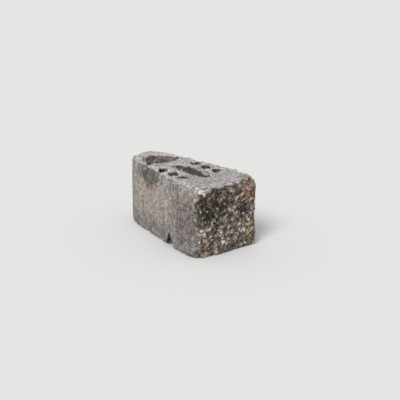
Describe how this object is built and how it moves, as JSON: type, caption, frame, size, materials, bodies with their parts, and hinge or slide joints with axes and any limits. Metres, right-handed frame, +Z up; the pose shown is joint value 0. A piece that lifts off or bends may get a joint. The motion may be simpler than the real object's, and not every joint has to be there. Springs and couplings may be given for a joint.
{
  "type": "split-face retaining-wall block",
  "caption": "Tumbled concrete wall block with one split face, a tapered body, a round tail, cores, pin holes and an underside channel.",
  "frame": {"origin": "on the underside plane, at the middle of the block's length and width", "axes": "+Z up as the block is laid, -Y out of the split face, +X to the right for someone facing the split face"},
  "size_m": [0.158, 0.3041, 0.15],
  "materials": {
    "concrete": "matte"
  },
  "bodies": {
    "root": {"block": "concrete"}
  },
  "joints": []
}
